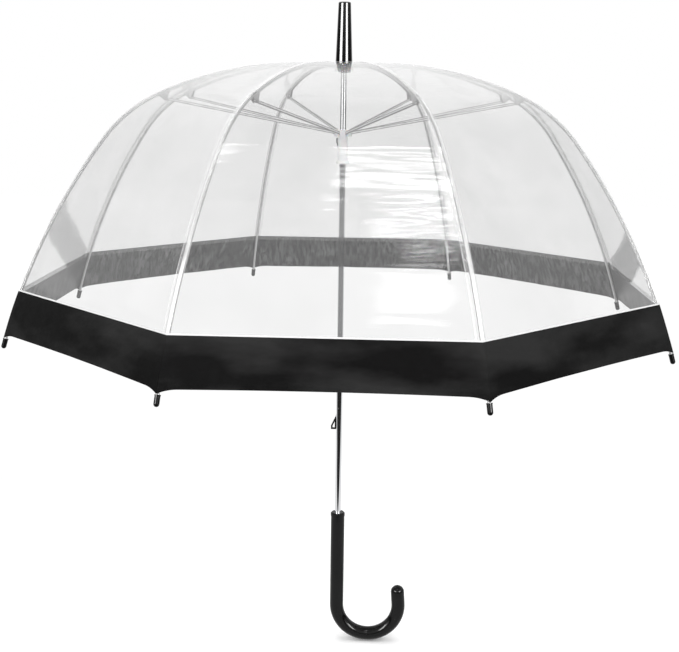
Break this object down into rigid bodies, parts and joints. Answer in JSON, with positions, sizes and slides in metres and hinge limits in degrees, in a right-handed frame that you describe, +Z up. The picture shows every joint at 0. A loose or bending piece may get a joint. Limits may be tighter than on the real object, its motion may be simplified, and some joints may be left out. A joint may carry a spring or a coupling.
{
  "type": "umbrella",
  "caption": "Clear dome stick umbrella with a dark border, a crook handle, a chrome shaft, a sliding runner and ribs that fold shut with their stretchers.",
  "frame": {"origin": "on the shaft's axis, level with the lowest point of the crook handle", "axes": "+Z up the shaft to the ferrule, +X the way the crook opens; the umbrella is open at rest"},
  "size_m": [0.7838, 0.7838, 0.8476],
  "materials": {
    "chrome": "polished",
    "handle_gloss": "gloss",
    "ferrule_gloss": "gloss",
    "tip_gloss": "gloss",
    "white_plastic": "satin",
    "clear_plastic": "satin",
    "pin_steel": "satin",
    "catch_wire": "satin",
    "rib_steel": "satin",
    "rod_steel": "satin",
    "bracket_steel": "satin",
    "stretcher_steel": "satin",
    "clear_film": "gloss",
    "border_fabric": "satin"
  },
  "bodies": {
    "shaft": {"shaft_tube": "chrome", "handle": "handle_gloss", "ferrule": "ferrule_gloss", "crown": "white_plastic", "crown_wire": "pin_steel", "film_washer": "clear_plastic", "open_catch_pin": "pin_steel", "closed_catch_pin": "pin_steel", "canopy_film": "clear_film", "canopy_border": "border_fabric"},
    "runner": {"runner": "white_plastic", "runner_wire": "pin_steel"},
    "open_catch": {"open_catch": "catch_wire"},
    "closed_catch": {"closed_catch": "catch_wire"},
    "rib_1": {"rib_1": "rib_steel", "bracket_1": "bracket_steel"},
    "rib_end_1": {"rib_rod_1": "rod_steel", "tip_1": "tip_gloss"},
    "stretcher_1": {"stretcher_1": "stretcher_steel"},
    "rib_2": {"rib_2": "rib_steel", "bracket_2": "bracket_steel"},
    "rib_end_2": {"rib_rod_2": "rod_steel", "tip_2": "tip_gloss"},
    "stretcher_2": {"stretcher_2": "stretcher_steel"},
    "rib_3": {"rib_3": "rib_steel", "bracket_3": "bracket_steel"},
    "rib_end_3": {"rib_rod_3": "rod_steel", "tip_3": "tip_gloss"},
    "stretcher_3": {"stretcher_3": "stretcher_steel"},
    "rib_4": {"rib_4": "rib_steel", "bracket_4": "bracket_steel"},
    "rib_end_4": {"rib_rod_4": "rod_steel", "tip_4": "tip_gloss"},
    "stretcher_4": {"stretcher_4": "stretcher_steel"},
    "rib_5": {"rib_5": "rib_steel", "bracket_5": "bracket_steel"},
    "rib_end_5": {"rib_rod_5": "rod_steel", "tip_5": "tip_gloss"},
    "stretcher_5": {"stretcher_5": "stretcher_steel"},
    "rib_6": {"rib_6": "rib_steel", "bracket_6": "bracket_steel"},
    "rib_end_6": {"rib_rod_6": "rod_steel", "tip_6": "tip_gloss"},
    "stretcher_6": {"stretcher_6": "stretcher_steel"},
    "rib_7": {"rib_7": "rib_steel", "bracket_7": "bracket_steel"},
    "rib_end_7": {"rib_rod_7": "rod_steel", "tip_7": "tip_gloss"},
    "stretcher_7": {"stretcher_7": "stretcher_steel"},
    "rib_8": {"rib_8": "rib_steel", "bracket_8": "bracket_steel"},
    "rib_end_8": {"rib_rod_8": "rod_steel", "tip_8": "tip_gloss"},
    "stretcher_8": {"stretcher_8": "stretcher_steel"}
  },
  "joints": [
    {"name": "fold", "type": "hinge", "parent": "shaft", "child": "rib_1", "pos_m": [0.00344, -0.00831, 0.77], "axis": [0.9239, 0.3827, 0], "range_deg": [0, 74], "deforming": ["canopy_film", "canopy_border", "open_catch", "closed_catch"]},
    {"name": "stretcher_1_pivot", "type": "hinge", "parent": "rib_1", "child": "stretcher_1", "pos_m": [0.08564, -0.20675, 0.7295], "axis": [0.9239, 0.3827, 0], "range_deg": [-148, 0]},
    {"name": "rib_end_1_flex", "type": "hinge", "parent": "rib_1", "child": "rib_end_1", "pos_m": [0.08856, -0.21381, 0.73438], "axis": [0.9239, 0.3827, 0], "range_deg": [-40, 0]},
    {"name": "rib_2_fold", "type": "hinge", "parent": "shaft", "child": "rib_2", "pos_m": [0.00831, -0.00344, 0.77], "axis": [0.3827, 0.9239, 0], "range_deg": [0, 74]},
    {"name": "stretcher_2_pivot", "type": "hinge", "parent": "rib_2", "child": "stretcher_2", "pos_m": [0.20675, -0.08564, 0.7295], "axis": [0.3827, 0.9239, 0], "range_deg": [-148, 0]},
    {"name": "rib_end_2_flex", "type": "hinge", "parent": "rib_2", "child": "rib_end_2", "pos_m": [0.21381, -0.08856, 0.73438], "axis": [0.3827, 0.9239, 0], "range_deg": [-40, 0]},
    {"name": "rib_3_fold", "type": "hinge", "parent": "shaft", "child": "rib_3", "pos_m": [0.00831, 0.00344, 0.77], "axis": [-0.3827, 0.9239, 0], "range_deg": [0, 74]},
    {"name": "stretcher_3_pivot", "type": "hinge", "parent": "rib_3", "child": "stretcher_3", "pos_m": [0.20675, 0.08564, 0.7295], "axis": [-0.3827, 0.9239, 0], "range_deg": [-148, 0]},
    {"name": "rib_end_3_flex", "type": "hinge", "parent": "rib_3", "child": "rib_end_3", "pos_m": [0.21381, 0.08856, 0.73438], "axis": [-0.3827, 0.9239, 0], "range_deg": [-40, 0]},
    {"name": "rib_4_fold", "type": "hinge", "parent": "shaft", "child": "rib_4", "pos_m": [0.00344, 0.00831, 0.77], "axis": [-0.9239, 0.3827, 0], "range_deg": [0, 74]},
    {"name": "stretcher_4_pivot", "type": "hinge", "parent": "rib_4", "child": "stretcher_4", "pos_m": [0.08564, 0.20675, 0.7295], "axis": [-0.9239, 0.3827, 0], "range_deg": [-148, 0]},
    {"name": "rib_end_4_flex", "type": "hinge", "parent": "rib_4", "child": "rib_end_4", "pos_m": [0.08856, 0.21381, 0.73438], "axis": [-0.9239, 0.3827, 0], "range_deg": [-40, 0]},
    {"name": "rib_5_fold", "type": "hinge", "parent": "shaft", "child": "rib_5", "pos_m": [-0.00344, 0.00831, 0.77], "axis": [-0.9239, -0.3827, 0], "range_deg": [0, 74]},
    {"name": "stretcher_5_pivot", "type": "hinge", "parent": "rib_5", "child": "stretcher_5", "pos_m": [-0.08564, 0.20675, 0.7295], "axis": [-0.9239, -0.3827, 0], "range_deg": [-148, 0]},
    {"name": "rib_end_5_flex", "type": "hinge", "parent": "rib_5", "child": "rib_end_5", "pos_m": [-0.08856, 0.21381, 0.73438], "axis": [-0.9239, -0.3827, 0], "range_deg": [-40, 0]},
    {"name": "rib_6_fold", "type": "hinge", "parent": "shaft", "child": "rib_6", "pos_m": [-0.00831, 0.00344, 0.77], "axis": [-0.3827, -0.9239, 0], "range_deg": [0, 74]},
    {"name": "stretcher_6_pivot", "type": "hinge", "parent": "rib_6", "child": "stretcher_6", "pos_m": [-0.20675, 0.08564, 0.7295], "axis": [-0.3827, -0.9239, 0], "range_deg": [-148, 0]},
    {"name": "rib_end_6_flex", "type": "hinge", "parent": "rib_6", "child": "rib_end_6", "pos_m": [-0.21381, 0.08856, 0.73438], "axis": [-0.3827, -0.9239, 0], "range_deg": [-40, 0]},
    {"name": "rib_7_fold", "type": "hinge", "parent": "shaft", "child": "rib_7", "pos_m": [-0.00831, -0.00344, 0.77], "axis": [0.3827, -0.9239, 0], "range_deg": [0, 74]},
    {"name": "stretcher_7_pivot", "type": "hinge", "parent": "rib_7", "child": "stretcher_7", "pos_m": [-0.20675, -0.08564, 0.7295], "axis": [0.3827, -0.9239, 0], "range_deg": [-148, 0]},
    {"name": "rib_end_7_flex", "type": "hinge", "parent": "rib_7", "child": "rib_end_7", "pos_m": [-0.21381, -0.08856, 0.73438], "axis": [0.3827, -0.9239, 0], "range_deg": [-40, 0]},
    {"name": "rib_8_fold", "type": "hinge", "parent": "shaft", "child": "rib_8", "pos_m": [-0.00344, -0.00831, 0.77], "axis": [0.9239, -0.3827, 0], "range_deg": [0, 74]},
    {"name": "stretcher_8_pivot", "type": "hinge", "parent": "rib_8", "child": "stretcher_8", "pos_m": [-0.08564, -0.20675, 0.7295], "axis": [0.9239, -0.3827, 0], "range_deg": [-148, 0]},
    {"name": "rib_end_8_flex", "type": "hinge", "parent": "rib_8", "child": "rib_end_8", "pos_m": [-0.08856, -0.21381, 0.73438], "axis": [0.9239, -0.3827, 0], "range_deg": [-40, 0]},
    {"name": "runner_slide", "type": "hinge", "parent": "stretcher_1", "child": "runner", "pos_m": [0.00344, -0.00831, 0.689], "axis": [0.9239, 0.3827, 0], "range_deg": [0, 74]},
    {"name": "open_catch_press", "type": "hinge", "parent": "shaft", "child": "open_catch", "pos_m": [-0.001, 0, 0.6535], "axis": [0, 1, 0], "range_deg": [0, 13.1], "stiffness_Nm_per_rad": 0.002},
    {"name": "closed_catch_press", "type": "hinge", "parent": "shaft", "child": "closed_catch", "pos_m": [-0.001, 0, 0.33025], "axis": [0, -1, 0], "range_deg": [0, 13.1], "stiffness_Nm_per_rad": 0.002}
  ],
  "couplings": [
    {"joint": "stretcher_1_pivot", "follows": "fold", "ratio": -2},
    {"joint": "rib_end_1_flex", "follows": "fold", "ratio": -0.54},
    {"joint": "rib_2_fold", "follows": "fold", "ratio": 1},
    {"joint": "stretcher_2_pivot", "follows": "fold", "ratio": -2},
    {"joint": "rib_end_2_flex", "follows": "fold", "ratio": -0.54},
    {"joint": "rib_3_fold", "follows": "fold", "ratio": 1},
    {"joint": "stretcher_3_pivot", "follows": "fold", "ratio": -2},
    {"joint": "rib_end_3_flex", "follows": "fold", "ratio": -0.54},
    {"joint": "rib_4_fold", "follows": "fold", "ratio": 1},
    {"joint": "stretcher_4_pivot", "follows": "fold", "ratio": -2},
    {"joint": "rib_end_4_flex", "follows": "fold", "ratio": -0.54},
    {"joint": "rib_5_fold", "follows": "fold", "ratio": 1},
    {"joint": "stretcher_5_pivot", "follows": "fold", "ratio": -2},
    {"joint": "rib_end_5_flex", "follows": "fold", "ratio": -0.54},
    {"joint": "rib_6_fold", "follows": "fold", "ratio": 1},
    {"joint": "stretcher_6_pivot", "follows": "fold", "ratio": -2},
    {"joint": "rib_end_6_flex", "follows": "fold", "ratio": -0.54},
    {"joint": "rib_7_fold", "follows": "fold", "ratio": 1},
    {"joint": "stretcher_7_pivot", "follows": "fold", "ratio": -2},
    {"joint": "rib_end_7_flex", "follows": "fold", "ratio": -0.54},
    {"joint": "rib_8_fold", "follows": "fold", "ratio": 1},
    {"joint": "stretcher_8_pivot", "follows": "fold", "ratio": -2},
    {"joint": "rib_end_8_flex", "follows": "fold", "ratio": -0.54},
    {"joint": "runner_slide", "follows": "fold", "ratio": 1}
  ]
}
